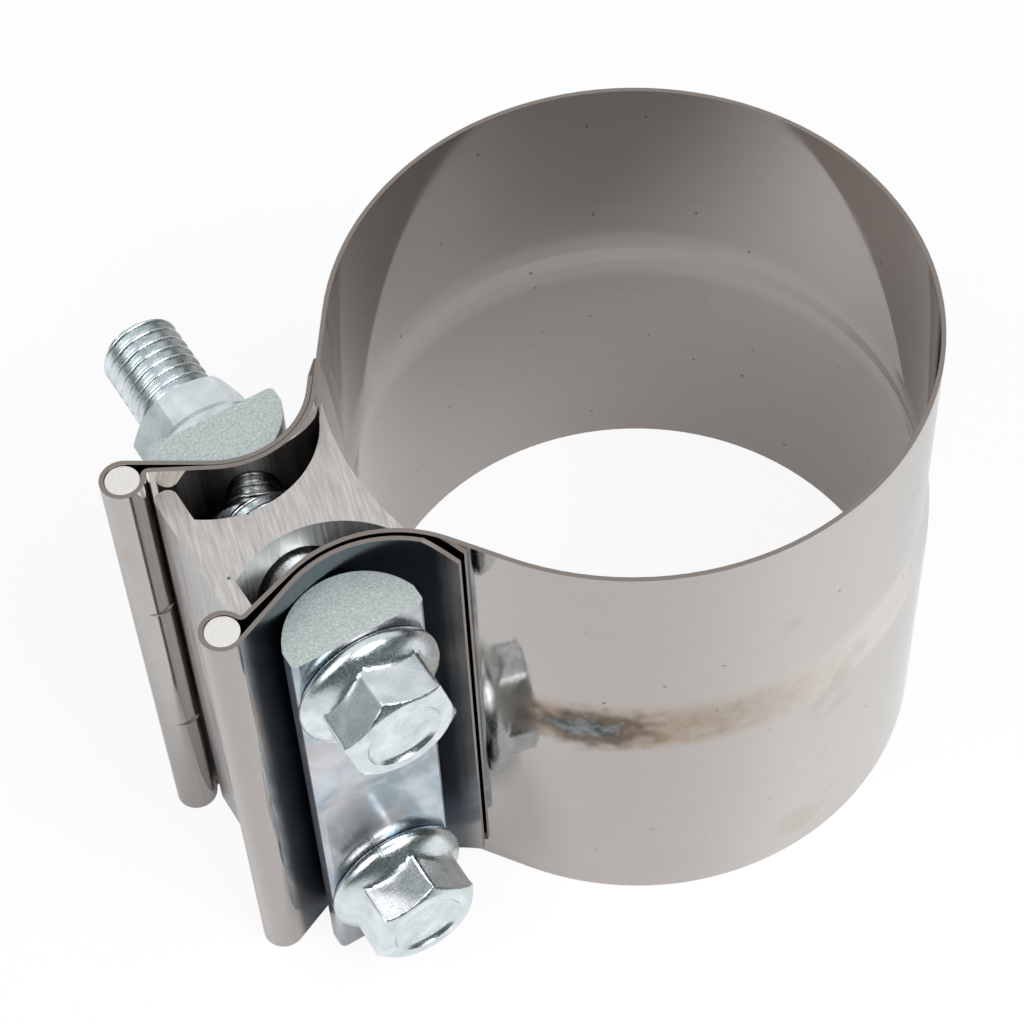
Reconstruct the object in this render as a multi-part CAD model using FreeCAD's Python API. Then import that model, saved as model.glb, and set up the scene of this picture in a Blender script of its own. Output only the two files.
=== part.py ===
# Lap joint clamp for two pipes, one pushed into the other.
# One stainless band is stepped to hold both pipe sizes. Its two ends flare out
# into ears, wrap round a steel rod each and return along the outside. A half
# round bar lies in each ear, an hourglass block sits between the ears, and two
# flange bolts with flange nuts draw the bars together.
#
# Frame: the large bore's axis is Z, its lower edge is at z = 0, the ears point
# to -X, the bolts lie along Y with their heads on the -Y side.
# All lengths are in millimetres and all angles in degrees.
import FreeCAD
import Part
import math
import os

# Band: rings, step and sheet
small_bore_radius = 44.45
large_bore_radius = 45.0
sheet = 0.7
band_height = 88.9
step_low = 43.6
cone_low = 47.2
cone_high = 51.4
step_high = 55.4
step_bend_share = 0.14
ear_departure_angle = 35.2

# Band: rods and the loops round them
rod_radius = 2.5
rod_from_ring = 30.25
rod_offset = 14.85
rod_recess = 0.2
loop_clearance = 0.1
neck_bend_radius = 0.75
neck_angle = 18.7
neck_gap = 0.05

# Band: the saddles, on the nut side and on the head side, and the tails
nut_saddle_radius = 13.95
nut_saddle_depth = 6.95
nut_layer_gap = 0.1
head_saddle_radius = 18.65
head_saddle_depth = 4.4
head_layer_gap = 0.6
tail_end_offset = 20.9
tail_chamfer_length = 5.4
tail_chamfer_height = 3.0

# Bolts and nuts
bolt_radius = 6.35
bolt_hole_clearance = 0.8
bolt_from_ring = 13.8
bolt_spacing = 57.4
bolt_length = 69.85
bolt_tip_chamfer = 1.3
head_height = 11.0
hex_across_flats = 15.9
hex_chamfer_drop = 1.1
hex_top_share = 0.95
flange_radius = 11.1
flange_edge = 1.5
flange_height = 3.6
recess_radius = 6.0
recess_floor_radius = 5.3
recess_depth = 0.9
nut_height = 10.2
nut_mouth = 0.7
thread_clearance = 0.05
seating_clearance = 0.05
upper_head_turn = 43.2
lower_head_turn = 16.9
upper_nut_turn = 56.8
lower_nut_turn = 22.0

# Half round bars
bar_width = 20.7
bar_thickness = 10.5
bar_crown_extra = 0.55
bar_lift = 0.2
bar_top_recess = 4.3
bar_corner_radius = 0.9
bar_seat_gap = 0.1

# Reaction block
block_lift = 0.2
block_top_recess = 4.2
block_waist = 5.9
block_arc_radius = 15.4
block_bore_gap = 1.75
block_sheet_gap = 0.25
horn_thickness = 0.8
horn_overhang_angle = 1.2
finger_width = 3.4
finger_before_rod = 2.9
finger_below_rod = 1.95
finger_tip_radius = 1.5

# Sizes that follow from the ones above
half_sheet = sheet / 2
departure = math.radians(ear_departure_angle)
small_outer_radius = small_bore_radius + sheet
small_middle_radius = small_bore_radius + half_sheet
rod_reach = small_outer_radius + rod_from_ring
bolt_reach = small_outer_radius + bolt_from_ring
loop_radius = rod_radius + loop_clearance + half_sheet
hole_radius = bolt_radius + bolt_hole_clearance
bar_crown_radius = bar_width / 2 + bar_crown_extra
bar_length = band_height - bar_lift - bar_top_recess
block_length = band_height - block_lift - block_top_recess
lower_bolt_z = (band_height - bolt_spacing) / 2
upper_bolt_z = lower_bolt_z + bolt_spacing


def vec(x, y, z=0.0):
    return FreeCAD.Vector(x, y, z)


UP = vec(0, 0, 1)


def centre_shift(bore_radius):
    """Distance from the small bore's axis to that of a ring which leaves the
    ears at the same two places with another bore radius."""
    across = small_bore_radius * math.sin(departure)
    return math.sqrt(bore_radius ** 2 - across ** 2) - small_bore_radius * math.cos(departure)


small_axis_x = -centre_shift(large_bore_radius)


def lug_point(reach, offset):
    """Point of the ear region: reach is measured from the small bore's axis
    towards the ears, offset across them, positive on the nut side."""
    return vec(small_axis_x - reach, offset)


def ring_point(radius, side, angle):
    """Point at this radius from the small bore's axis, the angle is measured
    from the ears' middle plane."""
    return lug_point(radius * math.cos(angle), side * radius * math.sin(angle))


def line(start, end):
    return Part.LineSegment(start, end).toShape()


def arc(start, through, end):
    return Part.Arc(start, through, end).toShape()


def face_of(edges):
    return Part.Face(Part.Wire(Part.__sortEdges__(edges)))


def lift(shape, height):
    moved = shape.copy()
    moved.translate(UP * height)
    return moved


# Sheet bending
class Bend:
    """A circle that the sheet's middle line follows, with turn +1 for
    counter-clockwise or -1 for clockwise."""

    def __init__(self, centre, radius, turn):
        self.centre = centre
        self.radius = radius
        self.turn = turn

    def point(self, heading, shift=0.0):
        """Point where the line runs at this heading, moved left by shift."""
        reach = self.turn * self.radius - shift
        return self.centre + vec(math.sin(heading), -math.cos(heading)) * reach


def tangent_heading(first, second):
    """Heading of the straight stretch between two bends."""
    gap = second.centre - first.centre
    lead = first.turn * first.radius - second.turn * second.radius
    return math.atan2(gap.y, gap.x) + math.asin(lead / gap.Length)


def turned(start, end, turn):
    """The heading end, unwound so that going there from start follows turn."""
    sweep = (end - start) % (2 * math.pi)
    if turn < 0:
        sweep -= 2 * math.pi
    return start + sweep


def forward(heading, distance):
    return vec(math.cos(heading), math.sin(heading)) * distance


def sheet_side(bends, start, end, first_run, shift):
    """Edges of one face of the bent sheet. It starts with a straight stretch at
    heading start and follows the bends to heading end on the last one."""
    first = bends[0].point(start, shift)
    edges = [line(first - forward(start, first_run), first)]
    heading = start
    for index, bend in enumerate(bends):
        last = index + 1 == len(bends)
        leaving = end if last else tangent_heading(bend, bends[index + 1])
        leaving = turned(heading, leaving, bend.turn)
        middle = bend.point((heading + leaving) / 2, shift)
        arc_end = bend.point(leaving, shift)
        edges.append(arc(bend.point(heading, shift), middle, arc_end))
        if not last:
            edges.append(line(arc_end, bends[index + 1].point(leaving, shift)))
        heading = leaving
    return edges


class Ear:
    """The bent sheet of one ear, on side +1 for the nuts or -1 for the heads."""

    def __init__(self, side, saddle_radius, saddle_depth, layer_gap):
        self.side = side
        self.layer_gap = layer_gap
        apex = rod_offset - saddle_depth
        radii = small_middle_radius + saddle_radius
        self.saddle_offset = apex + saddle_radius
        run = (radii * math.sin(departure) - self.saddle_offset) / math.cos(departure)
        self.saddle_reach = radii * math.cos(departure) + run * math.sin(departure)
        self.tail_radius = saddle_radius - sheet - layer_gap
        saddle_centre = lug_point(self.saddle_reach, side * self.saddle_offset)
        rod_centre = lug_point(rod_reach, side * rod_offset)
        neck_distance = loop_radius + neck_bend_radius + neck_gap
        neck_side = math.radians(neck_angle)
        neck_centre = lug_point(
            rod_reach - neck_distance * math.cos(neck_side),
            side * (rod_offset - neck_distance * math.sin(neck_side)),
        )
        self.tail = Bend(saddle_centre, self.tail_radius, -side)
        self.loop = Bend(rod_centre, loop_radius, side)
        self.neck = Bend(neck_centre, neck_bend_radius, -side)
        self.saddle = Bend(saddle_centre, saddle_radius, side)
        self.inward = side * (1.5 * math.pi - departure)
        self.outward = side * (0.5 * math.pi - departure)
        straight_offset = self.saddle_offset - self.tail_radius * math.sin(departure)
        self.tail_run = (tail_end_offset - straight_offset) / math.cos(departure)

    def solid(self):
        bends = [self.tail, self.loop, self.neck, self.saddle]
        path = (bends, self.inward, self.outward, self.tail_run)
        left = sheet_side(*path, half_sheet)
        right = sheet_side(*path, -half_sheet)
        tail_end = line(left[0].Vertexes[0].Point, right[0].Vertexes[0].Point)
        left.append(line(left[-1].Vertexes[-1].Point, self.ring_end(self.side)))
        right.append(line(right[-1].Vertexes[-1].Point, self.ring_end(-self.side)))
        ring_end = line(self.ring_end(1), self.ring_end(-1))
        section = face_of(left + right + [tail_end, ring_end])
        ear = section.extrude(UP * band_height)
        for corner in self.tail_corners():
            ear = ear.cut(corner)
        return ear

    def ring_end(self, face):
        """Where the ring leaves for the ear, face +1 outside or -1 inside."""
        return ring_point(small_middle_radius + face * half_sheet, self.side, departure)

    def tail_corners(self):
        """The two corners that are clipped off the tail's free end."""
        end = self.tail.point(self.inward) - forward(self.inward, self.tail_run)
        across = vec(math.sin(self.inward), -math.cos(self.inward)) * self.side
        back = forward(self.inward, tail_chamfer_length)
        to_layer = half_sheet + self.layer_gap / 2
        to_bar = half_sheet + bar_crown_radius / 4
        corners = []
        for edge_z, drop in ((0.0, tail_chamfer_height), (band_height, -tail_chamfer_height)):
            outer = end - across * to_layer - back * 0.2
            beyond = UP * (-drop * 0.2)
            corner = outer + beyond + UP * edge_z
            points = [corner, corner + back * 1.4, corner + UP * (drop * 1.4), corner]
            wedge = Part.Face(Part.makePolygon(points))
            corners.append(wedge.extrude(across * (to_layer + to_bar)))
        return corners

    def bar_centre_offset(self):
        """Offset of the bar's crown centre where the crown lies on the tail."""
        gap_reach = rod_reach - self.saddle_reach
        gap_offset = self.saddle_offset - rod_offset
        tilt = math.asin((self.tail_radius + loop_radius) / math.hypot(gap_reach, gap_offset))
        tilt -= math.atan2(gap_offset, gap_reach)
        room = self.tail_radius - half_sheet - bar_crown_radius - bar_seat_gap
        slide = bolt_reach - self.saddle_reach
        if slide <= room * math.sin(tilt):
            return self.saddle_offset - math.sqrt(room ** 2 - slide ** 2)
        from_rod = (rod_reach - bolt_reach) * math.sin(tilt)
        height = bar_crown_radius + bar_seat_gap + half_sheet + loop_radius - from_rod
        return rod_offset + height / math.cos(tilt)


# Band
def ring_section(ears, share, height):
    """Section of the ring, share 0 at the large bore and 1 at the small one."""
    bore = large_bore_radius + (small_bore_radius - large_bore_radius) * share
    far_x = small_axis_x + centre_shift(bore) + bore
    inner = [ear.ring_end(-1) for ear in ears]
    outer = [ear.ring_end(1) for ear in ears]
    edges = [
        arc(inner[0], vec(far_x, 0), inner[1]),
        line(inner[1], outer[1]),
        arc(outer[1], vec(far_x + sheet, 0), outer[0]),
        line(outer[0], inner[0]),
    ]
    return lift(Part.Wire(edges), height)


def make_ring(ears):
    levels = (
        (0, 0.0),
        (0, step_low),
        (step_bend_share, cone_low),
        (1 - step_bend_share, cone_high),
        (1, step_high),
        (1, band_height),
    )
    sections = [ring_section(ears, share, height) for share, height in levels]
    ring = None
    for below, above in zip(sections, sections[1:]):
        level = Part.makeLoft([below, above], True, True)
        ring = level if ring is None else ring.fuse(level)
    return ring


def bolt_hole(height):
    """Clearance hole for one bolt, through bars, ears and block."""
    half_length = tail_end_offset + bar_thickness
    start = lug_point(bolt_reach, -half_length) + UP * height
    return Part.makeCylinder(hole_radius, 2 * half_length, start, vec(0, 1, 0))


def drilled(shape):
    return shape.cut([bolt_hole(lower_bolt_z), bolt_hole(upper_bolt_z)])


def make_band(ears):
    band = make_ring(ears).fuse([ear.solid() for ear in ears])
    return drilled(band.removeSplitter())


def make_rod(side):
    foot = lug_point(rod_reach, side * rod_offset) + UP * rod_recess
    return Part.makeCylinder(rod_radius, band_height - 2 * rod_recess, foot, UP)


# Half round bars
def bar_flat_offset(ear):
    return ear.bar_centre_offset() - bar_crown_radius + bar_thickness


def make_bar(ear):
    """A round crown towards the block, short straight sides and a flat back."""
    centre = ear.bar_centre_offset()
    half_width = bar_width / 2
    shoulder = centre - math.sqrt(bar_crown_radius ** 2 - half_width ** 2)
    apex = centre - bar_crown_radius
    flat = bar_flat_offset(ear)
    left_shoulder = lug_point(bolt_reach + half_width, ear.side * shoulder)
    right_shoulder = lug_point(bolt_reach - half_width, ear.side * shoulder)
    left_corner = lug_point(bolt_reach + half_width, ear.side * flat)
    right_corner = lug_point(bolt_reach - half_width, ear.side * flat)
    edges = [
        arc(left_shoulder, lug_point(bolt_reach, ear.side * apex), right_shoulder),
        line(right_shoulder, right_corner),
        line(right_corner, left_corner),
        line(left_corner, left_shoulder),
    ]
    bar = lift(face_of(edges).extrude(UP * bar_length), bar_lift)
    corners = []
    for edge in bar.Edges:
        middle = edge.CenterOfMass
        on_flat = abs(middle.y - ear.side * flat) < 1e-6
        if on_flat and abs(middle.z - bar_lift - bar_length / 2) < 1e-6:
            corners.append(edge)
    return drilled(bar.makeFillet(bar_corner_radius, corners))


# Reaction block
def half_block_section():
    """Nut side half of the block's section. The outer end carries a finger that
    reaches under the rod, the inner end a horn between pipe and sheet."""
    end_reach = rod_reach - finger_before_rod
    root_reach = end_reach - finger_width
    tip = rod_offset - finger_below_rod
    round_start = tip - finger_tip_radius
    corner = finger_tip_radius * math.sqrt(0.5)
    pipe_side = small_bore_radius + block_bore_gap
    arc_offset = block_waist / 2 + block_arc_radius
    arc_distance = pipe_side + horn_thickness + block_arc_radius
    arc_reach = math.sqrt(arc_distance ** 2 - arc_offset ** 2)
    root = arc_offset - math.sqrt(block_arc_radius ** 2 - (root_reach - arc_reach) ** 2)
    arc_centre = lug_point(arc_reach, arc_offset)
    horn_angle = math.asin(arc_offset / arc_distance) + math.radians(horn_overhang_angle)
    horn = ring_point(pipe_side, 1, horn_angle)
    to_horn = horn - arc_centre
    horn_inner = arc_centre + to_horn * (block_arc_radius / to_horn.Length)
    pipe_middle = ring_point(pipe_side, 1, horn_angle / 2)
    outer_round = lug_point(end_reach - finger_tip_radius + corner, round_start + corner)
    inner_round = lug_point(root_reach + finger_tip_radius - corner, round_start + corner)
    outer_top = lug_point(end_reach - finger_tip_radius, tip)
    inner_top = lug_point(root_reach + finger_tip_radius, tip)
    finger_root = lug_point(root_reach, root)
    edges = [
        line(lug_point(end_reach, 0), lug_point(end_reach, round_start)),
        arc(lug_point(end_reach, round_start), outer_round, outer_top),
        line(outer_top, inner_top),
        arc(inner_top, inner_round, lug_point(root_reach, round_start)),
        line(lug_point(root_reach, round_start), finger_root),
        arc(finger_root, lug_point(arc_reach, block_waist / 2), horn_inner),
        line(horn_inner, horn),
        arc(horn, pipe_middle, lug_point(pipe_side, 0)),
        line(lug_point(pipe_side, 0), lug_point(end_reach, 0)),
    ]
    return face_of(edges)


def sheet_clearance():
    """Space along the ring's straight stretch that the horn keeps clear of."""
    axis = lug_point(0, 0)
    out = ring_point(1, 1, departure) - axis
    along = ring_point(1, 1, departure - math.pi / 2) - axis
    arc_offset = block_waist / 2 + block_arc_radius
    foot = axis + out * (small_bore_radius - block_sheet_gap)
    length = (foot.y - arc_offset + block_arc_radius * math.sin(departure)) / math.cos(departure)
    depth = sheet + 2 * horn_thickness
    points = [foot, foot + along * length, foot + along * length + out * depth, foot + out * depth]
    return Part.Face(Part.makePolygon(points + [foot]))


def make_block():
    half = half_block_section().extrude(UP * block_length)
    half = half.cut(sheet_clearance().extrude(UP * block_length))
    other = half.mirror(vec(0, 0), vec(0, 1))
    block = half.fuse(other).removeSplitter()
    return drilled(lift(block, block_lift))


# Bolts and nuts, built upright on their bearing face
def turned_part(profile):
    """Solid made by turning a profile of (radius, height) points about Z."""
    points = [vec(radius, 0, height) for radius, height in profile]
    section = Part.Face(Part.makePolygon(points + [points[0]]))
    return section.revolve(vec(0, 0), UP, 360)


def flanged_hexagon(height, turn):
    """Hexagon on a flange. turn is the angle of a corner from +X."""
    corner_radius = hex_across_flats / math.sqrt(3)
    corners = []
    for index in range(7):
        angle = math.radians(turn + 60 * index)
        corners.append(vec(math.cos(angle), math.sin(angle)) * corner_radius)
    hexagon = Part.Face(Part.makePolygon(corners)).extrude(UP * height)
    top_radius = hex_across_flats / 2 * hex_top_share
    rounding = turned_part([
        (0, 0),
        (corner_radius, 0),
        (corner_radius, height - hex_chamfer_drop),
        (top_radius, height),
        (0, height),
    ])
    flange = turned_part([
        (0, 0),
        (flange_radius, 0),
        (flange_radius, flange_edge),
        (corner_radius, flange_height),
        (0, flange_height),
    ])
    return hexagon.common(rounding).fuse(flange)


def laid(shape, towards, offset, height):
    """Turns an upright part so that its top points along +Y or -Y."""
    placed = shape.copy()
    placed.rotate(vec(0, 0), vec(1, 0), -90 * towards)
    placed.translate(lug_point(bolt_reach, offset) + UP * height)
    return placed


def make_bolt(turn, offset, height):
    head = flanged_hexagon(head_height, turn)
    recess = turned_part([
        (0, head_height - recess_depth),
        (recess_floor_radius, head_height - recess_depth),
        (recess_radius, head_height),
        (0, head_height),
    ])
    shank = turned_part([
        (0, flange_edge),
        (bolt_radius, flange_edge),
        (bolt_radius, bolt_tip_chamfer - bolt_length),
        (bolt_radius - bolt_tip_chamfer, -bolt_length),
        (0, -bolt_length),
    ])
    return laid(head.cut(recess).fuse(shank), -1, offset, height)


def make_nut(turn, offset, height):
    bore_radius = bolt_radius + thread_clearance
    body = flanged_hexagon(nut_height, -turn)
    bore = turned_part([
        (0, 0),
        (bore_radius + nut_mouth, 0),
        (bore_radius, nut_mouth),
        (bore_radius, nut_height - nut_mouth),
        (bore_radius + nut_mouth, nut_height),
        (0, nut_height),
    ])
    return laid(body.cut(bore), 1, offset, height)


# Pieces
nut_ear = Ear(1, nut_saddle_radius, nut_saddle_depth, nut_layer_gap)
head_ear = Ear(-1, head_saddle_radius, head_saddle_depth, head_layer_gap)
head_seat = -bar_flat_offset(head_ear) - seating_clearance
nut_seat = bar_flat_offset(nut_ear) + seating_clearance

pieces = {
    "band": make_band((nut_ear, head_ear)),
    "far_rod": make_rod(1),
    "near_rod": make_rod(-1),
    "reaction_block": make_block(),
    "near_bar": make_bar(head_ear),
    "far_bar": make_bar(nut_ear),
    "upper_bolt": make_bolt(upper_head_turn, head_seat, upper_bolt_z),
    "lower_bolt": make_bolt(lower_head_turn, head_seat, lower_bolt_z),
    "upper_nut": make_nut(upper_nut_turn, nut_seat, upper_bolt_z),
    "lower_nut": make_nut(lower_nut_turn, nut_seat, lower_bolt_z),
}

os.makedirs("parts", exist_ok=True)
for name, shape in pieces.items():
    shape.exportStep("parts/" + name + ".step")
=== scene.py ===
"""Lap joint clamp on a white table: bright stainless band with a heat tinted step,
saw cut aluminium block, zinc plated half round bars, flange bolts and nuts."""
import math

import bpy
from mathutils import Matrix, Vector


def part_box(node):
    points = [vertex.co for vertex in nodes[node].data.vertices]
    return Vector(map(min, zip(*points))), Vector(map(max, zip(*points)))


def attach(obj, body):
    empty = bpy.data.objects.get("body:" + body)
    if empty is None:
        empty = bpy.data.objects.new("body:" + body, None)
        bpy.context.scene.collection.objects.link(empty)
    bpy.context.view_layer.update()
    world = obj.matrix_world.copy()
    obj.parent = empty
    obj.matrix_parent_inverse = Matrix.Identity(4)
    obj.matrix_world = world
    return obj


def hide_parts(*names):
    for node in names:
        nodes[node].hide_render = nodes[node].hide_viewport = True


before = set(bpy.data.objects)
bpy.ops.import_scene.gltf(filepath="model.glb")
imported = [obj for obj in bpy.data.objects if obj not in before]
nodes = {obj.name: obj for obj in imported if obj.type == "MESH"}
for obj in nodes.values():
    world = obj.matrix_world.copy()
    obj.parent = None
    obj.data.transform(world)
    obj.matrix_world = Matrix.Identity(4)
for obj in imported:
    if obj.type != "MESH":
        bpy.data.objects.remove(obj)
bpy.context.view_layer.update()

MM = 0.001

# Sizes of the bolts, in millimetres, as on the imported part, and the degrees that
# each head is turned
bolt_length = 69.85
head_height = 11.0
across_flats = 15.9
shank_radius = 6.3
thread_radius = 6.33
thread_root_radius = 5.2
thread_lead = 25.4 / 13
thread_length = 46.0
head_turns = {"upper_bolt": 43.2, "lower_bolt": 16.9}

# Places on the band, in millimetres: its radius, the fades below and above the
# step, the weld's place along the strip and up it, and the painted saddle shade's limits in x
band_radius = 45.0
step_bottom_fade = (42.5, 46.0)
step_top_fade = (57.0, 51.5)
weld_along = -103.3
weld_height = 48.8
saddle_shade_loop_side = (-74.6, -73.0)
saddle_shade_ring_side = (-41.5, -45.0)


# Nodes and colours
def linear(colour):
    """sRGB hex colour to linear RGBA."""
    parts = [int(colour[i:i + 2], 16) / 255 for i in (1, 3, 5)]
    return [p / 12.92 if p <= 0.04045 else ((p + 0.055) / 1.055) ** 2.4 for p in parts] + [1.0]


def add(tree, kind, settings, links):
    """Adds a node with its settings; links gives each socket a value, a node's
    first output, or one of its outputs."""
    node = tree.nodes.new("ShaderNode" + kind)
    for name, value in settings.items():
        setattr(node, name, value)
    for name, value in links.items():
        if isinstance(value, bpy.types.Node):
            value = next(output for output in value.outputs if output.enabled)
        if isinstance(value, bpy.types.NodeSocket):
            tree.links.new(value, node.inputs[name])
        else:
            node.inputs[name].default_value = value
    return node


def new_metal(name):
    """An empty metal, and its surface position in millimetres and normal."""
    material = bpy.data.materials.new(name)
    material.use_nodes = True
    tree = material.node_tree
    tree.nodes.clear()
    place = add(tree, "TexCoord", {}, {})
    millimetres = add(tree, "VectorMath", {"operation": "SCALE"}, {
        0: place.outputs["Object"], "Scale": 1000,
    })
    return material, tree, millimetres, place.outputs["Normal"]


def finish_metal(tree, colour, roughness, height, bump_mm):
    """Metal shader from a colour, a roughness and a bump of this many mm."""
    bump = add(tree, "Bump", {}, {"Strength": 1.0, "Distance": bump_mm * MM, "Height": height})
    shader = add(tree, "BsdfPrincipled", {}, {
        "Base Color": colour,
        "Metallic": 1.0,
        "Roughness": roughness,
        "Normal": bump,
    })
    add(tree, "OutputMaterial", {}, {"Surface": shader})


# Materials
def bright_annealed_stainless():
    """Cold rolled, bright annealed stainless sheet: a warm grey, nearly mirror
    finish with faint rolling lines, pits, and tan to brown heat tint on the step
    round a slate grey spot weld."""
    material, tree, place, normal = new_metal("bright_annealed_stainless")
    xyz = add(tree, "SeparateXYZ", {}, {0: place})
    x, y, z = xyz.outputs
    angle = add(tree, "Math", {"operation": "ARCTAN2"}, {0: y, 1: x})
    degrees = add(tree, "Math", {"operation": "DEGREES"}, {0: angle})
    arc = add(tree, "Math", {"operation": "MULTIPLY"}, {0: angle, 1: band_radius})
    # Rolling lines run along the strip, 0.4 mm apart, drawn coarser than real
    strip = add(tree, "CombineXYZ", {}, {0: arc, 1: 0.0, 2: z})
    stretched = add(tree, "VectorMath", {"operation": "MULTIPLY"}, {
        0: strip, 1: (0.03, 1.0, 1.0),
    })
    lines = add(tree, "TexNoise", {}, {"Vector": stretched, "Scale": 2.4, "Detail": 4.0})
    clouds = add(tree, "TexNoise", {}, {"Vector": place, "Scale": 0.07, "Detail": 3.0})
    mottle = add(tree, "TexNoise", {}, {
        "Vector": strip, "Scale": 0.35, "Detail": 5.0, "Roughness": 0.6,
    })
    # Pits and specks up to 0.6 mm, one to a patch of about 9 mm and only in some
    unrolled = add(tree, "CombineXYZ", {}, {0: arc, 1: z})
    unrolled = add(tree, "VectorMath", {"operation": "MULTIPLY_ADD"}, {
        0: mottle.outputs["Color"], 1: (1.5, 1.5, 0.0), 2: unrolled,
    })
    cells = add(tree, "TexVoronoi", {"voronoi_dimensions": "2D"}, {
        "Vector": unrolled, "Scale": 0.11,
    })
    pick = add(tree, "SeparateColor", {}, {0: cells.outputs["Color"]})
    size = add(tree, "MapRange", {}, {
        "Value": pick, "From Min": 0.5, "From Max": 1.0, "To Min": 0.0, "To Max": 0.035,
    })
    pit = add(tree, "Math", {"operation": "LESS_THAN"}, {0: cells, 1: size})
    pit = add(tree, "Math", {"operation": "MULTIPLY"}, {0: pit, 1: 0.7})

    # Outside of the ring only: the surface faces away from the axis
    from_axis = add(tree, "VectorMath", {"operation": "MULTIPLY"}, {
        0: place, 1: (1.0, 1.0, 0.0),
    })
    facing = add(tree, "VectorMath", {"operation": "DOT_PRODUCT"}, {0: normal, 1: from_axis})
    outside = add(tree, "Math", {"operation": "GREATER_THAN"}, {
        0: facing.outputs["Value"], 1: 0.0,
    })
    edge_low = add(tree, "MapRange", {"interpolation_type": "SMOOTHSTEP"}, {
        "Value": z, "From Min": step_bottom_fade[0], "From Max": step_bottom_fade[1],
    })
    edge_high = add(tree, "MapRange", {"interpolation_type": "SMOOTHSTEP"}, {
        "Value": z, "From Min": step_top_fade[0], "From Max": step_top_fade[1],
    })
    step = add(tree, "Math", {"operation": "MULTIPLY"}, {0: edge_low, 1: edge_high})
    on_ring = add(tree, "MapRange", {}, {"Value": x, "From Min": -42.0, "From Max": -36.0})
    pit = add(tree, "Math", {"operation": "MULTIPLY"}, {0: pit, 1: on_ring})
    step = add(tree, "Math", {"operation": "MULTIPLY"}, {0: step, 1: on_ring})
    tinted_step = add(tree, "Math", {"operation": "MULTIPLY"}, {0: step, 1: outside})
    near_weld = add(tree, "MapRange", {"interpolation_type": "SMOOTHSTEP"}, {
        "Value": degrees, "From Min": -62.0, "From Max": -122.0,
    })
    near_ear = add(tree, "MapRange", {"interpolation_type": "SMOOTHSTEP"}, {
        "Value": degrees, "From Min": -175.0, "From Max": -150.0,
    })
    tint = add(tree, "Math", {"operation": "MULTIPLY"}, {0: tinted_step, 1: near_weld})
    tint = add(tree, "Math", {"operation": "MULTIPLY"}, {0: tint, 1: near_ear})
    blotch = add(tree, "MapRange", {}, {
        "Value": mottle, "From Min": 0.3, "From Max": 0.7, "To Min": 0.55, "To Max": 1.0,
    })
    tint = add(tree, "Math", {"operation": "MULTIPLY"}, {0: tint, 1: blotch})

    # Weld spot, 10 mm by 5 mm, and the brown ring round it
    offset = add(tree, "VectorMath", {"operation": "SUBTRACT"}, {
        0: strip, 1: (weld_along, 0.0, weld_height),
    })
    scaled = add(tree, "VectorMath", {"operation": "MULTIPLY"}, {
        0: offset, 1: (0.18, 0.0, 0.34),
    })
    distance = add(tree, "VectorMath", {"operation": "LENGTH"}, {0: scaled})
    waves = add(tree, "TexNoise", {}, {"Vector": strip, "Scale": 0.4, "Detail": 1.5})
    ragged = add(tree, "MapRange", {}, {
        "Value": waves, "From Min": 0.3, "From Max": 0.7, "To Min": -0.4, "To Max": 0.4,
    })
    reach = add(tree, "Math", {"operation": "ADD"}, {0: distance.outputs["Value"], 1: ragged})
    halo = add(tree, "MapRange", {"interpolation_type": "SMOOTHSTEP"}, {
        "Value": reach, "From Min": 2.4, "From Max": 0.7,
    })
    halo = add(tree, "Math", {"operation": "MULTIPLY"}, {0: halo, 1: outside})
    weld = add(tree, "MapRange", {"interpolation_type": "SMOOTHSTEP"}, {
        "Value": reach, "From Min": 1.15, "From Max": 0.3, "To Max": 0.9,
    })
    weld = add(tree, "Math", {"operation": "MULTIPLY"}, {0: weld, 1: outside})

    # A few tan stains of 5 to 10 mm on the outside
    stain = add(tree, "MapRange", {"interpolation_type": "SMOOTHSTEP"}, {
        "Value": clouds, "From Min": 0.60, "From Max": 0.72, "To Max": 0.4,
    })
    stain = add(tree, "Math", {"operation": "MULTIPLY"}, {0: stain, 1: outside})

    grey = add(tree, "Mix", {"data_type": "RGBA"}, {
        0: lines, 6: linear("#B7B2AD"), 7: linear("#C6C2BE"),
    })
    # Painted sheen: the step's colour is lightened where its rougher finish catches light
    painted_step_sheen = add(tree, "Math", {"operation": "MULTIPLY"}, {0: step, 1: 0.6})
    grey = add(tree, "Mix", {"data_type": "RGBA"}, {0: painted_step_sheen, 6: grey, 7: linear("#E2DDD8")})
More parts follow.
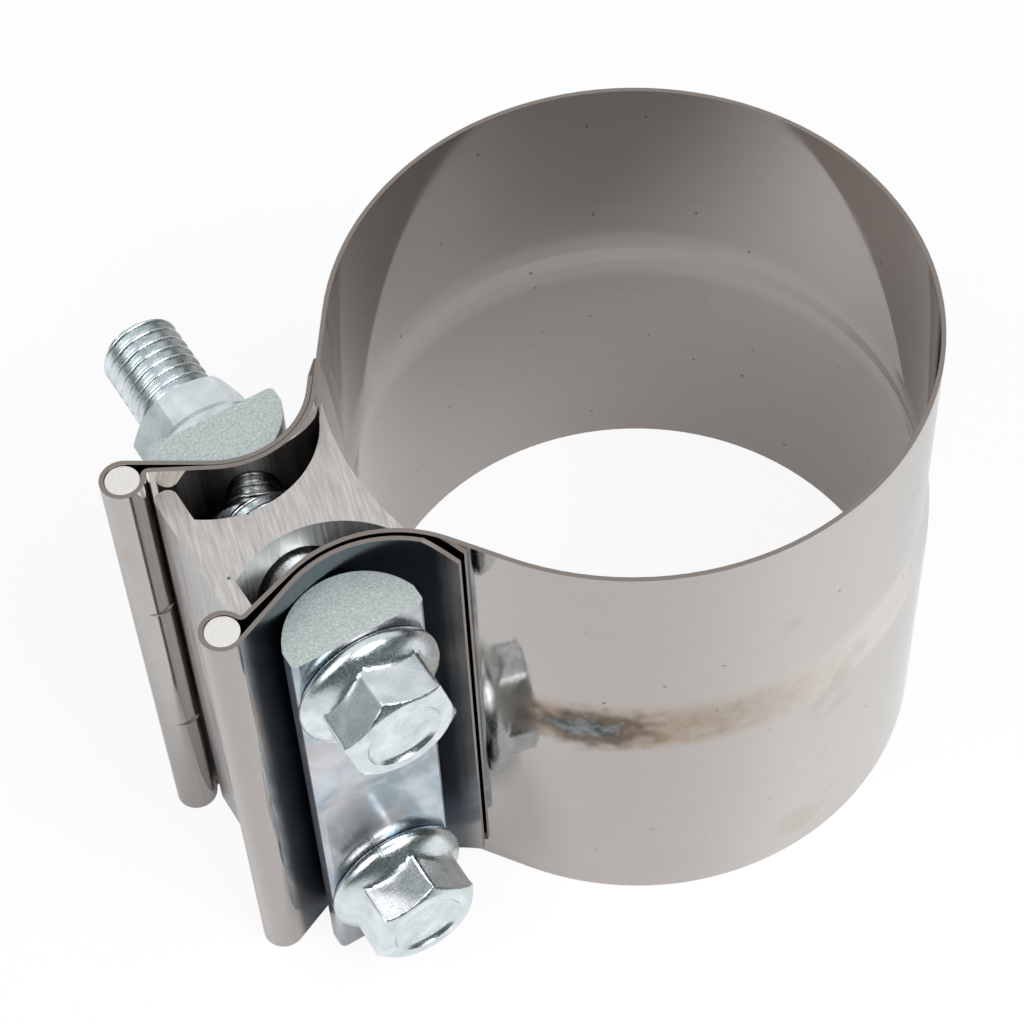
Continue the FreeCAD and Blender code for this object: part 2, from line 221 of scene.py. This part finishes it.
    # Painted shade: duller, darker grey on the inside of the ring and towards the near
    # ear, and dark bluish painted shade in the saddles beside the bars
    to_near_ear = add(tree, "Math", {"operation": "MULTIPLY_ADD"}, {0: y, 1: 1.2, 2: x})
    painted_dull_shade = add(tree, "MapRange", {"interpolation_type": "SMOOTHSTEP"}, {
        "Value": to_near_ear, "From Min": -53.0, "From Max": -76.0, "To Max": 0.6,
    })
    painted_dull_shade = add(tree, "Mix", {}, {0: outside, 2: 0.45, 3: painted_dull_shade})
    grey = add(tree, "Mix", {"data_type": "RGBA"}, {0: painted_dull_shade, 6: grey, 7: linear("#9F9794")})
    from_loop = add(tree, "MapRange", {"interpolation_type": "SMOOTHSTEP"}, {
        "Value": x,
        "From Min": saddle_shade_loop_side[0],
        "From Max": saddle_shade_loop_side[1],
        "To Max": 0.88,
    })
    from_ring = add(tree, "MapRange", {"interpolation_type": "SMOOTHSTEP"}, {
        "Value": x, "From Min": saddle_shade_ring_side[0], "From Max": saddle_shade_ring_side[1],
    })
    painted_saddle_shade = add(tree, "Math", {"operation": "MULTIPLY"}, {0: from_loop, 1: from_ring})
    faces = add(tree, "SeparateXYZ", {}, {0: normal})
    outward = add(tree, "Math", {"operation": "MULTIPLY"}, {0: y, 1: faces.outputs["Y"]})
    outward = add(tree, "Math", {"operation": "GREATER_THAN"}, {0: outward, 1: 0.5})
    painted_saddle_shade = add(tree, "Math", {"operation": "MULTIPLY"}, {0: painted_saddle_shade, 1: outward})
    # Painted shade in the saddles, where they sit in the pocket beside the bars: dark bluish grey
    grey = add(tree, "Mix", {"data_type": "RGBA"}, {0: painted_saddle_shade, 6: grey, 7: linear("#3C4A53")})
    colour = add(tree, "Mix", {"data_type": "RGBA"}, {0: stain, 6: grey, 7: linear("#AC9C8E")})
    colour = add(tree, "Mix", {"data_type": "RGBA"}, {0: tint, 6: colour, 7: linear("#94836F")})
    colour = add(tree, "Mix", {"data_type": "RGBA"}, {0: halo, 6: colour, 7: linear("#5A4C40")})
    crust = add(tree, "MapRange", {}, {"Value": mottle, "From Min": 0.4, "From Max": 0.6})
    slag = add(tree, "Mix", {"data_type": "RGBA"}, {
        0: crust, 6: linear("#4B5154"), 7: linear("#92989B"),
    })
    colour = add(tree, "Mix", {"data_type": "RGBA"}, {0: weld, 6: colour, 7: slag})
    colour = add(tree, "Mix", {"data_type": "RGBA"}, {0: pit, 6: colour, 7: linear("#5F5751")})
    # Sheared edges of the sheet, darker and rougher than its faces
    sheared = add(tree, "Math", {"operation": "ABSOLUTE"}, {0: faces.outputs["Z"]})
    sheared = add(tree, "Math", {"operation": "GREATER_THAN"}, {0: sheared, 1: 0.8})
    colour = add(tree, "Mix", {"data_type": "RGBA"}, {
        0: sheared, 6: colour, 7: linear("#8E8680"),
    })

    satin = add(tree, "MapRange", {}, {
        "Value": clouds, "From Min": 0.3, "From Max": 0.7, "To Min": 0.03, "To Max": 0.09,
    })
    rough = add(tree, "Math", {"operation": "MULTIPLY"}, {0: weld, 1: 0.35})
    rough = add(tree, "Math", {"operation": "ADD"}, {0: satin, 1: rough})
    rough = add(tree, "Math", {"operation": "MULTIPLY_ADD"}, {0: step, 1: 0.12, 2: rough})
    rough = add(tree, "Math", {"operation": "MULTIPLY_ADD"}, {0: painted_saddle_shade, 1: 0.2, 2: rough})
    rough = add(tree, "Math", {"operation": "MULTIPLY_ADD"}, {0: sheared, 1: 0.25, 2: rough})
    relief = add(tree, "Math", {"operation": "MULTIPLY"}, {0: weld, 1: mottle})
    relief = add(tree, "Math", {"operation": "MULTIPLY_ADD"}, {0: relief, 1: 40.0, 2: lines})
    finish_metal(tree, colour, rough, relief, 0.0012)
    return material


def drawn_rod():
    """Cold drawn steel rod: a dull silver bar, its sawn ends paler with grit
    marks."""
    material, tree, place, normal = new_metal("drawn_steel_rod")
    along = add(tree, "VectorMath", {"operation": "MULTIPLY"}, {0: place, 1: (3.0, 3.0, 0.1)})
    drawn = add(tree, "TexNoise", {}, {"Vector": along, "Scale": 1.0, "Detail": 3.0})
    grit = add(tree, "TexNoise", {}, {
        "Vector": place, "Scale": 2.2, "Detail": 6.0, "Roughness": 0.65,
    })
    up = add(tree, "SeparateXYZ", {}, {0: normal})
    end = add(tree, "Math", {"operation": "ABSOLUTE"}, {0: up.outputs["Z"]})
    end = add(tree, "Math", {"operation": "GREATER_THAN"}, {0: end, 1: 0.7})
    side = add(tree, "Mix", {"data_type": "RGBA"}, {
        0: drawn, 6: linear("#A8A6A2"), 7: linear("#C9C7C4"),
    })
    cut = add(tree, "Mix", {"data_type": "RGBA"}, {
        0: grit, 6: linear("#D2CFCA"), 7: linear("#F4F2EE"),
    })
    colour = add(tree, "Mix", {"data_type": "RGBA"}, {0: end, 6: side, 7: cut})
    rough = add(tree, "MapRange", {}, {"Value": end, "To Min": 0.28, "To Max": 0.5})
    relief = add(tree, "Mix", {}, {0: end, 2: drawn, 3: grit})
    finish_metal(tree, colour, rough, relief, 0.06)
    return material


def sawn_aluminium():
    """Extruded aluminium, sawn to length: pale grey, die lines along the sides,
    slanting saw marks and a few pits on the ends."""
    material, tree, place, normal = new_metal("sawn_aluminium")
    # The saw ran 14 degrees off the bolts' direction, its marks 0.5 mm apart
    turned = add(tree, "VectorRotate", {"rotation_type": "Z_AXIS"}, {
        "Vector": place, "Angle": math.radians(13.8),
    })
    sawn = add(tree, "VectorMath", {"operation": "MULTIPLY"}, {0: turned, 1: (1.0, 0.07, 0.3)})
    marks = add(tree, "TexNoise", {}, {
        "Vector": sawn, "Scale": 2.0, "Detail": 5.0, "Roughness": 0.65,
    })
    drawn = add(tree, "VectorMath", {"operation": "MULTIPLY"}, {0: place, 1: (1.0, 1.0, 0.03)})
    die = add(tree, "TexNoise", {}, {"Vector": drawn, "Scale": 1.6, "Detail": 4.0})
    up = add(tree, "SeparateXYZ", {}, {0: normal})
    end = add(tree, "Math", {"operation": "ABSOLUTE"}, {0: up.outputs["Z"]})
    end = add(tree, "Math", {"operation": "GREATER_THAN"}, {0: end, 1: 0.7})
    cells = add(tree, "TexVoronoi", {}, {"Vector": place, "Scale": 0.16})
    pit = add(tree, "MapRange", {}, {
        "Value": cells, "From Min": 0.03, "From Max": 0.06, "To Min": 1.0, "To Max": 0.0,
    })
    relief = add(tree, "Mix", {}, {0: end, 2: die, 3: marks})
    strong = add(tree, "MapRange", {}, {"Value": relief, "From Min": 0.3, "From Max": 0.7})
    ends = add(tree, "Mix", {"data_type": "RGBA"}, {
        0: strong, 6: linear("#B0ACA9"), 7: linear("#D8D5D2"),
    })
    sides = add(tree, "Mix", {"data_type": "RGBA"}, {
        0: strong, 6: linear("#BBBAB9"), 7: linear("#DCDAD8"),
    })
    colour = add(tree, "Mix", {"data_type": "RGBA"}, {0: end, 6: sides, 7: ends})
    colour = add(tree, "Mix", {"data_type": "RGBA"}, {0: pit, 6: colour, 7: linear("#55514D")})
    rough = add(tree, "MapRange", {}, {
        "Value": relief, "From Min": 0.3, "From Max": 0.7, "To Min": 0.34, "To Max": 0.5,
    })
    finish_metal(tree, colour, rough, relief, 0.05)
    return material


def zinc_plated_bar():
    """Bright zinc plate on a hot rolled half round bar: bluish and clouded on the
    flat, granular and greenish grey on the sheared ends."""
    material, tree, place, normal = new_metal("zinc_plated_bar")
    clouds = add(tree, "TexNoise", {}, {
        "Vector": place, "Scale": 0.16, "Detail": 4.0, "Distortion": 0.6,
    })
    grain = add(tree, "TexNoise", {}, {
        "Vector": place, "Scale": 2.6, "Detail": 8.0, "Roughness": 0.75, "Distortion": 0.8,
    })
    up = add(tree, "SeparateXYZ", {}, {0: normal})
    end = add(tree, "Math", {"operation": "ABSOLUTE"}, {0: up.outputs["Z"]})
    end = add(tree, "Math", {"operation": "GREATER_THAN"}, {0: end, 1: 0.7})
    patches = add(tree, "MapRange", {}, {"Value": clouds, "From Min": 0.35, "From Max": 0.65})
    side = add(tree, "Mix", {"data_type": "RGBA"}, {
        0: patches, 6: linear("#98A4AD"), 7: linear("#C3CCD4"),
    })
    # Faint straw and rose tints of the passivated plate, 15 mm across
    film = add(tree, "TexNoise", {}, {"Vector": place, "Scale": 0.07, "Detail": 2.0})
    rose = add(tree, "MapRange", {}, {
        "Value": film, "From Min": 0.5, "From Max": 0.65, "To Max": 0.5,
    })
    side = add(tree, "Mix", {"data_type": "RGBA"}, {0: rose, 6: side, 7: linear("#D6C8C4")})
    flecks = add(tree, "MapRange", {}, {"Value": grain, "From Min": 0.38, "From Max": 0.62})
    sheared = add(tree, "Mix", {"data_type": "RGBA"}, {
        0: flecks, 6: linear("#A3AEAC"), 7: linear("#D2DAD9"),
    })
    colour = add(tree, "Mix", {"data_type": "RGBA"}, {0: end, 6: side, 7: sheared})
    smooth = add(tree, "MapRange", {}, {
        "Value": clouds, "From Min": 0.3, "From Max": 0.7, "To Min": 0.26, "To Max": 0.14,
    })
    rough = add(tree, "Mix", {}, {0: end, 2: smooth, 3: 0.5})
    weak = add(tree, "Math", {"operation": "MULTIPLY"}, {0: clouds, 1: 0.5})
    relief = add(tree, "Mix", {}, {0: end, 2: weak, 3: grain})
    finish_metal(tree, colour, rough, relief, 0.10)
    return material


def bright_zinc_plate():
    """Bright blue zinc plate on forged steel: nearly white, a little bluish, with
    faint clouds and fine forging pits."""
    material, tree, place, _ = new_metal("bright_zinc_plate")
    clouds = add(tree, "TexNoise", {}, {
        "Vector": place, "Scale": 0.3, "Detail": 4.0, "Distortion": 0.4,
    })
    grain = add(tree, "TexNoise", {}, {
        "Vector": place, "Scale": 2.5, "Detail": 6.0, "Roughness": 0.7,
    })
    tone = add(tree, "MapRange", {}, {"Value": clouds, "From Min": 0.3, "From Max": 0.7})
    colour = add(tree, "Mix", {"data_type": "RGBA"}, {
        0: tone, 6: linear("#C3CDCE"), 7: linear("#E6ECF0"),
    })
    rough = add(tree, "MapRange", {}, {
        "Value": grain, "From Min": 0.3, "From Max": 0.7, "To Min": 0.16, "To Max": 0.32,
    })
    finish_metal(tree, colour, rough, grain, 0.02)
    return material


stainless = bright_annealed_stainless()
rod_steel = drawn_rod()
aluminium = sawn_aluminium()
bar_zinc = zinc_plated_bar()
bolt_zinc = bright_zinc_plate()
node_materials = {
    "band": stainless,
    "far_rod": rod_steel,
    "near_rod": rod_steel,
    "reaction_block": aluminium,
    "near_bar": bar_zinc,
    "far_bar": bar_zinc,
    "upper_bolt": bolt_zinc,
    "lower_bolt": bolt_zinc,
    "upper_nut": bolt_zinc,
    "lower_nut": bolt_zinc,
}
for name, material in node_materials.items():
    node_mesh = nodes[name].data
    for index in range(len(node_mesh.materials)):
        node_mesh.materials[index] = material


# Bolts
def hexagon_radius(angle):
    """Distance from the axis to a hexagon's side, corners at 0, 60, ... degrees."""
    from_flat = math.radians((angle % 60) - 30)
    return across_flats / 2 / math.cos(from_flat)


def head_rows():
    """Rows of (height, round radius, hexagon limit) from the recess in the head's
    top, over the chamfer, hexagon and flange, to the shank."""
    corner = across_flats / math.sqrt(3)
    rows = [(head_height - 0.95, r, 0) for r in (0.0, 3.0, 4.8)]
    recess_and_rim = ((0.85, 5.2), (0.6, 5.55), (0.1, 5.9), (0.0, 6.15), (0.0, 7.2), (0.05, 7.5))
    rows += [(head_height - depth, r, 0) for depth, r in recess_and_rim]
    drop = 0.05
    while drop < 1.15:
        drop += 0.1
        rows.append((head_height - drop, 0, 7.55 + (drop - 0.05) * 1.5))
    for height in (8.6, 7.0, 5.6):
        rows.append((height, 0, corner - 0.12))
    flange_slope = ((4.9, 7.9), (4.4, 8.1), (4.0, 8.45), (3.6, 8.95),
                    (3.2, 9.5), (2.7, 10.1), (2.2, 10.65))
    rows += [(height, r, corner - 0.12) for height, r in flange_slope]
    flange_rim = ((1.8, 10.92), (1.3, 11.08), (0.8, 11.08), (0.35, 10.95), (0.05, 10.65), (0, 10.3))
    shank = ((0, 7.2), (-0.1, 6.6), (-0.6, shank_radius),
             (thread_length - bolt_length, shank_radius))
    rows += [(height, r, 0) for height, r in flange_rim + shank]
    return rows


def head_angles():
    """Angles round the head in degrees, closer together at the corners."""
    within = (0, 0.7, 1.6, 4, 8, 13, 19, 25, 30, 35, 41, 47, 52, 56, 58.4, 59.3)
    return [60 * side + angle for side in range(6) for angle in within]


def rows_to_mesh(points, faces, rows, angles):
    """Adds a closed surface through the rows."""
    first = len(points)
    for height, round_radius, limit in rows:
        for angle in angles:
            r = max(round_radius, min(limit, hexagon_radius(angle)))
            turn = math.radians(angle)
            points.append((r * math.cos(turn), r * math.sin(turn), height))
    count = len(angles)
    for row in range(len(rows) - 1):
        for column in range(count):
            a = first + row * count + column
            b = first + row * count + (column + 1) % count
            faces.append((a, b, b + count, a + count))


def thread_to_mesh(points, faces):
    """Adds the rolled thread: the rows follow the helix, so its crests stay
    sharp, and it runs out at the shank and at the chamfered tip."""
    profile = ((0.0, 0.0), (0.09, 0.0), (0.15, 0.1), (0.29, 0.62), (0.41, 0.95), (0.46, 1.0),
               (0.54, 1.0), (0.59, 0.95), (0.71, 0.62), (0.85, 0.1), (0.91, 0.0))
    start = -bolt_length
    end = thread_length - bolt_length
    turns = int(thread_length / thread_lead) + 3
    steps = 64
    first = len(points)
    rows = [(turn + share, depth) for turn in range(-1, turns) for share, depth in profile]
    for place, depth in rows:
        for step in range(steps):
            height = start + thread_lead * (place + step / steps)
            height = min(max(height, start), end)
            r = thread_root_radius + (thread_radius - thread_root_radius) * depth
            tip = thread_root_radius - 0.15 + (height - start) * 1.5
            run_out = (end - height) / (1.5 * thread_lead)
            if run_out < 1:
                r = shank_radius + (r - shank_radius) * max(run_out, 0)
            r = min(r, tip)
            turn = 2 * math.pi * step / steps
            points.append((r * math.cos(turn), r * math.sin(turn), height))
    period = len(profile)
    for row in range(len(rows) - 1 - period):
        for step in range(steps):
            a = first + row * steps + step
            if step < steps - 1:
                b = a + 1
            else:
                b = first + (row + period) * steps
            faces.append((a, a + steps, b + steps, b))
    cap = len(points)
    tip_radius = thread_root_radius - 0.15
    for r in (tip_radius, tip_radius - 0.5, 0.0):
        for step in range(steps):
            turn = 2 * math.pi * step / steps
            points.append((r * math.cos(turn), r * math.sin(turn), start))
    for row in range(2):
        for step in range(steps):
            a = cap + row * steps + step
            b = cap + row * steps + (step + 1) % steps
            faces.append((a, a + steps, b + steps, b))


def threaded_bolt(node):
    """Flange bolt with its thread and the shallow round recess in its head."""
    low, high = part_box(node)
    points, faces = [], []
    rows_to_mesh(points, faces, head_rows(), head_angles())
    thread_to_mesh(points, faces)
    mesh = bpy.data.meshes.new(node + "_threaded")
    mesh.from_pydata(points, [], faces)
    turn = Matrix.Rotation(math.radians(head_turns[node]), 4, "Z")
    laid = Matrix.Rotation(math.radians(90), 4, "X")
    centre = Vector(((low[0] + high[0]) / 2, low[1] + head_height * MM, (low[2] + high[2]) / 2))
    mesh.transform(Matrix.Translation(centre) @ Matrix.Scale(MM, 4) @ laid @ turn)
    mesh.validate()
    mesh.materials.append(bolt_zinc)
    mesh.shade_smooth()
    mesh.set_sharp_from_angle(angle=math.radians(32))
    piece = bpy.data.objects.new(node + "_threaded", mesh)
    bpy.context.scene.collection.objects.link(piece)
    weld = piece.modifiers.new("weld", "WELD")
    weld.merge_threshold = 0.00001
    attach(piece, node)
    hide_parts(node)
    return piece


for bolt in head_turns:
    threaded_bolt(bolt)


# Crimps on the far loop: where they start and end round it, in degrees, how far
# they stand out, and the sheet with its gap round the rod, in millimetres
lip_from = 238
lip_to = 316
lip_height = 0.38
sheet_and_gap = 0.8


def crimp_lip(name, height):
    """Raised lip where the loop was pinched onto its rod at this height: it starts
    at a point and widens towards the block."""
    low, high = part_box("far_rod")
    centre_x, centre_y = ((low[0] + high[0]) / 2, (low[1] + high[1]) / 2)
    loop = (high[0] - low[0]) / 2 + sheet_and_gap * MM
    # Rise in millimetres and share of the lip's height, from below to above
    profile = ((-1.5, -0.06), (-1.0, 0.1), (-0.5, 0.6), (-0.25, 1.0),
               (-0.1, 0.95), (0.0, 0.5), (0.12, 0.0), (0.2, -0.06))
    steps = 20
    points, faces = [], []
    for step in range(steps + 1):
        share = step / steps
        turn = math.radians(lip_from + (lip_to - lip_from) * share)
        grown = share ** 0.7
        for rise, proud in profile:
            r = loop + (proud * lip_height * grown if proud > 0 else proud) * MM
            x = centre_x + r * math.cos(turn)
            y = centre_y + r * math.sin(turn)
            z = (height + rise * (0.25 + 0.75 * grown) - 0.5 * share) * MM
            points.append((x, y, z))
    count = len(profile)
    for step in range(steps):
        for row in range(count - 1):
            a = step * count + row
            faces.append((a, a + count, a + count + 1, a + 1))
    mesh = bpy.data.meshes.new(name)
    mesh.from_pydata(points, [], faces)
    mesh.materials.append(stainless)
    mesh.shade_smooth()
    piece = bpy.data.objects.new(name, mesh)
    bpy.context.scene.collection.objects.link(piece)
    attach(piece, "clamp")


crimp_lip("far_loop_crimp_upper", 58.8)
crimp_lip("far_loop_crimp_lower", 26.8)


# Studio
def softbox(name, size, centre, target, energy):
    """A square soft lamp facing a point of the clamp."""
    lamp = bpy.data.lights.new(name, "AREA")
    lamp.shape = "SQUARE"
    lamp.size = size
    lamp.energy = energy
    holder = bpy.data.objects.new(name, lamp)
    holder.location = centre
    holder.rotation_euler = (Vector(target) - Vector(centre)).to_track_quat("-Z", "Y").to_euler()
    bpy.context.scene.collection.objects.link(holder)


def white_table():
    """Matt white table that looks pure white to the eye but keeps the shadow."""
    mesh = bpy.data.meshes.new("table")
    mesh.from_pydata([(-3, -3, 0), (3, -3, 0), (3, 3, 0), (-3, 3, 0)], [], [(0, 1, 2, 3)])
    table = bpy.data.objects.new("table", mesh)
    bpy.context.scene.collection.objects.link(table)
    material = bpy.data.materials.new("matt_white_table")
    material.use_nodes = True
    tree = material.node_tree
    tree.nodes.clear()
    path = add(tree, "LightPath", {}, {})
    straight = add(tree, "Math", {"operation": "MAXIMUM"}, {
        0: path.outputs["Is Camera Ray"], 1: path.outputs["Is Transmission Ray"],
    })
    seen = add(tree, "Math", {"operation": "MULTIPLY"}, {0: straight, 1: 0.9})
    mirrored = add(tree, "Math", {"operation": "MULTIPLY"}, {
        0: path.outputs["Is Glossy Ray"], 1: 0.12,
    })
    share = add(tree, "Math", {"operation": "MAXIMUM"}, {0: seen, 1: mirrored})
    paint = add(tree, "BsdfDiffuse", {}, {"Color": linear("#F2F2F2")})
    glow = add(tree, "Emission", {}, {"Color": linear("#FFFFFF"), "Strength": 1.0})
    mixed = add(tree, "MixShader", {}, {0: share, 1: paint, 2: glow})
    add(tree, "OutputMaterial", {}, {"Surface": mixed})
    mesh.materials.append(material)


white_table()
softbox("right_softbox", 0.6, (0.22, -0.62, 0.98), (0, 0, 0.05), 10.5)
softbox("left_softbox", 0.6, (-0.76, -0.14, 0.92), (0, 0, 0.05), 5.0)

world = bpy.data.worlds.new("studio")
bpy.context.scene.world = world
world.use_nodes = True
sky = world.node_tree
sky.nodes.clear()
sky_path = add(sky, "LightPath", {}, {})
seen_sky = add(sky, "Background", {}, {"Color": linear("#FFFFFF"), "Strength": 1.0})
# White ceiling, grey room below it, darkest behind the camera
direction = add(sky, "TexCoord", {}, {})
heights = add(sky, "SeparateXYZ", {}, {0: direction.outputs["Generated"]})
ceiling = add(sky, "MapRange", {"interpolation_type": "SMOOTHSTEP"}, {
    "Value": heights.outputs["Z"], "From Min": 0.1, "From Max": 0.55,
})
room_colour = add(sky, "Mix", {"data_type": "RGBA"}, {
    0: ceiling, 6: linear("#7A817C"), 7: linear("#FAFBFC"),
})
front = add(sky, "MapRange", {"interpolation_type": "SMOOTHSTEP"}, {
    "Value": heights.outputs["Y"], "From Min": 0.0, "From Max": -0.55,
})
room_colour = add(sky, "Mix", {"data_type": "RGBA"}, {
    0: front, 6: room_colour, 7: linear("#525C59"),
})
mirrored_room = add(sky, "Background", {}, {"Color": room_colour, "Strength": 0.95})
room_light = add(sky, "Background", {}, {"Color": linear("#E9EDF2"), "Strength": 0.3})
room = add(sky, "MixShader", {}, {
    0: sky_path.outputs["Is Glossy Ray"], 1: room_light, 2: mirrored_room,
})
straight_ray = add(sky, "Math", {"operation": "MAXIMUM"}, {
    0: sky_path.outputs["Is Camera Ray"], 1: sky_path.outputs["Is Transmission Ray"],
})
sky_mix = add(sky, "MixShader", {}, {0: straight_ray, 1: room, 2: seen_sky})
add(sky, "OutputWorld", {}, {"Surface": sky_mix})

# Camera
camera_data = bpy.data.cameras.new("camera")
camera_data.lens = 105.6
camera_data.sensor_width = 36.0
camera_data.clip_start = 0.01
camera = bpy.data.objects.new("camera", camera_data)
camera.matrix_world = Matrix((
    (0.85348, 0.44487, -0.27135, -0.14569),
    (-0.52004, 0.69399, -0.49788, -0.22646),
    (-0.03318, 0.56606, 0.82370, 0.43150),
    (0, 0, 0, 1),
))
bpy.context.scene.collection.objects.link(camera)
bpy.context.scene.camera = camera
bpy.context.scene.view_settings.view_transform = "Standard"
